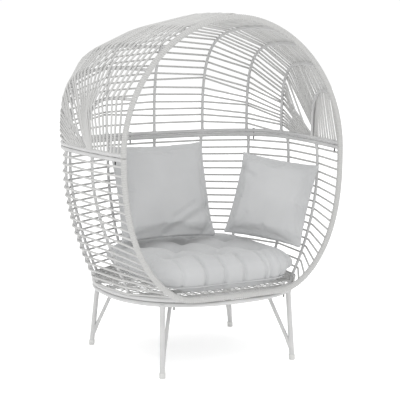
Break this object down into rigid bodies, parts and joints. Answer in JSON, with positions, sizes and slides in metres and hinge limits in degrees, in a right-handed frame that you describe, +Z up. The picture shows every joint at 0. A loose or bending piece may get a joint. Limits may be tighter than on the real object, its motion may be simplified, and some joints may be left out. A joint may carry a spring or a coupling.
{
  "type": "standing egg chair",
  "caption": "Egg-shaped outdoor seat for two: woven cage of steel ribs in two bolted halves on a four-legged base, with a tufted seat cushion and loose back cushions.",
  "frame": {"origin": "on the floor under the middle of the chair's box", "axes": "+Z up, the open front faces -Y, +X to the right seen from the front"},
  "size_m": [1.142, 0.8502, 1.5019],
  "materials": {
    "wicker": "round synthetic wicker strand, off-white, satin",
    "painted_steel": "white powder coat, semi-matt",
    "foot_plastic": "moulded white plastic",
    "bolt_zinc": "dark zinc, threaded",
    "cushion_fabric": "pale cool grey woven polyester"
  },
  "bodies": {
    "frame": {"upper_hoop": "wicker", "lower_hoop": "wicker", "upper_rail": "painted_steel", "lower_rail": "painted_steel", "upper_rib_1": "painted_steel", "upper_rib_2": "painted_steel", "upper_rib_3": "painted_steel", "upper_rib_4": "painted_steel", "upper_rib_5": "painted_steel", "upper_rib_6": "painted_steel", "upper_rib_7": "painted_steel", "upper_rib_8": "painted_steel", "upper_rib_9": "painted_steel", "lower_rib_1": "painted_steel", "lower_rib_2": "painted_steel", "lower_rib_3": "painted_steel", "lower_rib_4": "painted_steel", "lower_rib_5": "painted_steel", "lower_rib_6": "painted_steel", "lower_rib_7": "painted_steel", "lower_rib_8": "painted_steel", "lower_rib_9": "painted_steel", "base_ring": "painted_steel", "leg_ring": "painted_steel", "seat_bar_1": "painted_steel", "seat_bar_2": "painted_steel", "seat_bar_3": "painted_steel", "seat_weave": "wicker", "upper_weave_1": "wicker", "upper_weave_2": "wicker", "upper_weave_3": "wicker", "upper_weave_4": "wicker", "lower_weave_1": "wicker", "lower_weave_2": "wicker", "lower_weave_3": "wicker", "leg_cross_tube_front": "painted_steel", "leg_cross_tube_rear": "painted_steel", "leg_front_left": "painted_steel", "leg_brace_front_left": "painted_steel", "foot_cap_front_left": "foot_plastic", "leg_front_right": "painted_steel", "leg_brace_front_right": "painted_steel", "foot_cap_front_right": "foot_plastic", "leg_rear_left": "painted_steel", "leg_brace_rear_left": "painted_steel", "foot_cap_rear_left": "foot_plastic", "leg_rear_right": "painted_steel", "leg_brace_rear_right": "painted_steel", "foot_cap_rear_right": "foot_plastic", "rail_bolt_1": "bolt_zinc", "rail_bolt_2": "bolt_zinc", "rail_bolt_3": "bolt_zinc", "rail_bolt_4": "bolt_zinc", "base_bolt_1": "bolt_zinc", "base_bolt_2": "bolt_zinc", "base_bolt_3": "bolt_zinc", "base_bolt_4": "bolt_zinc"},
    "seat_cushion": {"seat_cushion": "cushion_fabric"},
    "back_cushion_left": {"back_cushion_left": "cushion_fabric"},
    "back_cushion_right": {"back_cushion_right": "cushion_fabric"}
  },
  "joints": [
    {"name": "seat_cushion_slide", "type": "slide", "parent": "frame", "child": "seat_cushion", "axis": [0, -1, 0], "range_m": [0, 0.95]},
    {"name": "back_cushion_left_slide", "type": "slide", "parent": "frame", "child": "back_cushion_left", "axis": [0, -0.9404, 0.3401], "range_m": [0, 0.9]},
    {"name": "back_cushion_right_slide", "type": "slide", "parent": "frame", "child": "back_cushion_right", "axis": [-0.3602, -0.8605, 0.3602], "range_m": [0, 1.25]}
  ]
}
